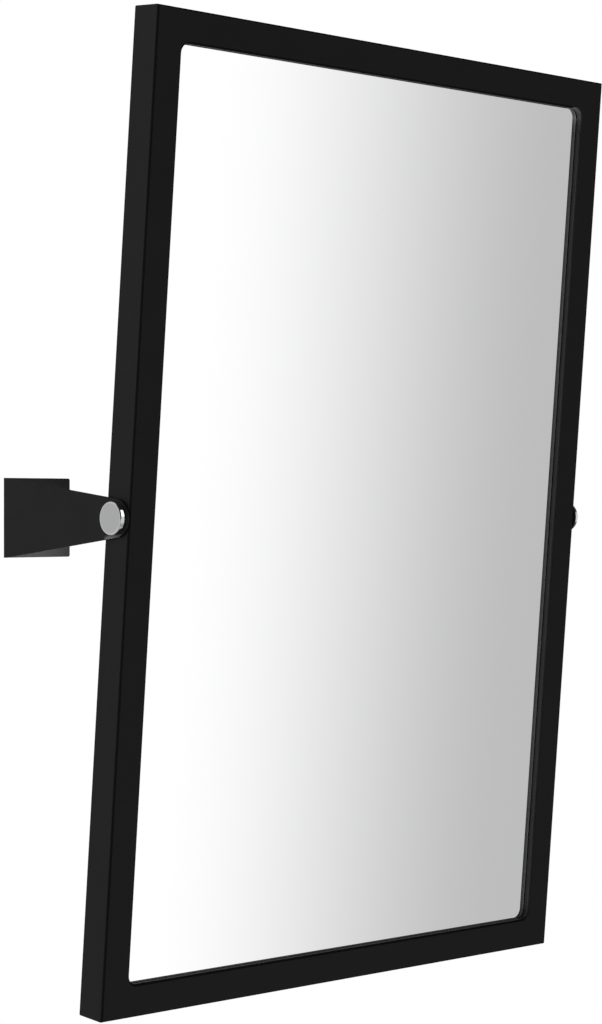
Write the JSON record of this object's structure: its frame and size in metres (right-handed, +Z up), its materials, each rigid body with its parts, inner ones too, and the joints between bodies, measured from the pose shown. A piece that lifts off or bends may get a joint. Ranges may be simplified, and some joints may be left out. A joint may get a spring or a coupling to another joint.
{
  "type": "tilting wall mirror",
  "caption": "Upright rectangular mirror in a slim black metal frame that tilts on side pivots between two folded wall brackets with round chrome caps.",
  "frame": {"origin": "on the wall plane, at the centre of the four wall screw holes, level with the pivots", "axes": "+X to the viewer's right along the pivot axis, +Y into the wall, +Z up"},
  "size_m": [0.412, 0.147, 0.5994],
  "materials": {
    "frame_paint": "satin black powder coat",
    "bracket_paint": "satin black powder coat",
    "mirror_glass": "silvered float glass",
    "cap_chrome": "polished chrome",
    "zinc_steel": "bright zinc plate",
    "spring_steel": "plain spring steel",
    "nylon": "natural nylon",
    "black_rubber": "matt",
    "foam": "closed-cell foam",
    "board": "hardboard, smooth",
    "panel_plastic": "fine-textured black sheet"
  },
  "bodies": {
    "wall_brackets": {"left_wall_bracket": "bracket_paint", "right_wall_bracket": "bracket_paint", "left_arm_bush": "nylon", "right_arm_bush": "nylon", "left_thrust_washer": "nylon", "right_thrust_washer": "nylon"},
    "mirror": {"front_frame": "frame_paint", "glazing_gasket": "black_rubber", "mirror_glass": "mirror_glass", "backing_board": "board", "setting_blocks": "black_rubber", "packing_pads": "foam", "back_panel": "panel_plastic", "back_panel_screws": "zinc_steel", "rear_bumpers": "black_rubber", "left_spring_washer": "spring_steel", "left_pivot_screw": "zinc_steel", "left_pivot_cap": "cap_chrome", "left_pivot_block": "zinc_steel", "right_spring_washer": "spring_steel", "right_pivot_screw": "zinc_steel", "right_pivot_cap": "cap_chrome", "right_pivot_block": "zinc_steel"}
  },
  "joints": [
    {"name": "mirror_tilt", "type": "hinge", "parent": "wall_brackets", "child": "mirror", "pos_m": [0, -0.11, 0], "axis": [1, 0, 0], "range_deg": [-23.5, 13.5]}
  ]
}
